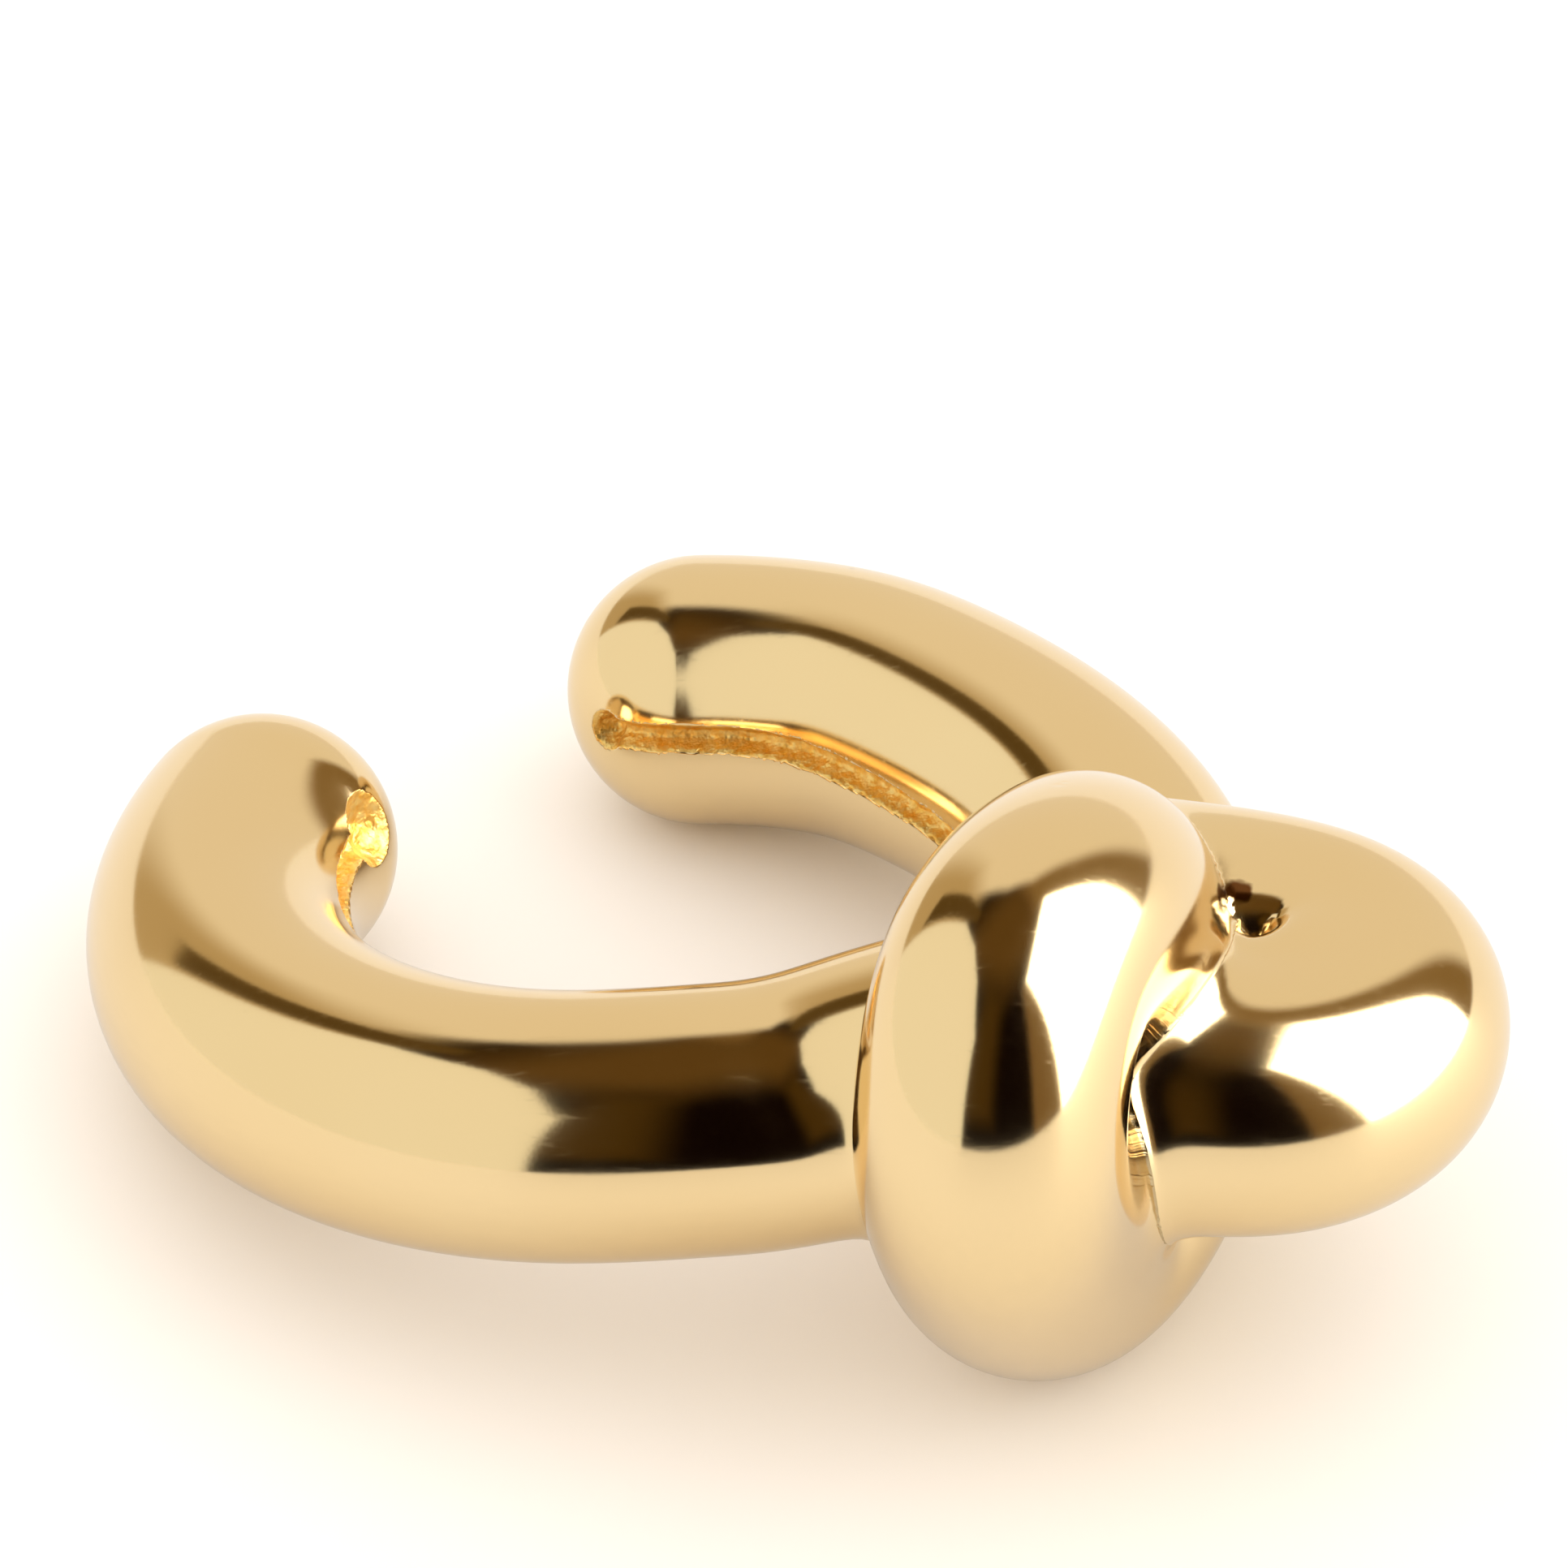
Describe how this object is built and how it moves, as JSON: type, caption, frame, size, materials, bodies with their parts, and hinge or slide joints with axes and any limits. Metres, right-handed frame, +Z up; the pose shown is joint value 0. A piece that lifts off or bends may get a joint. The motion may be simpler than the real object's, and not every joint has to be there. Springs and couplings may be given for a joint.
{
  "type": "ear cuff",
  "caption": "Open ring of round polished gold strand with domed tips and a tight knot opposite the gap, worn clipped on the ear's rim.",
  "frame": {"origin": "on the surface that the cuff rests on, under the middle of its footprint", "axes": "+Z up from that surface, +X towards the knot's side lobe, -Y towards the wrap of the knot"},
  "size_m": [0.021, 0.02, 0.0111],
  "materials": {
    "gold": "gold plated, mirror polished, matt in the channel"
  },
  "bodies": {
    "root": {"knot_cuff": "gold"}
  },
  "joints": []
}
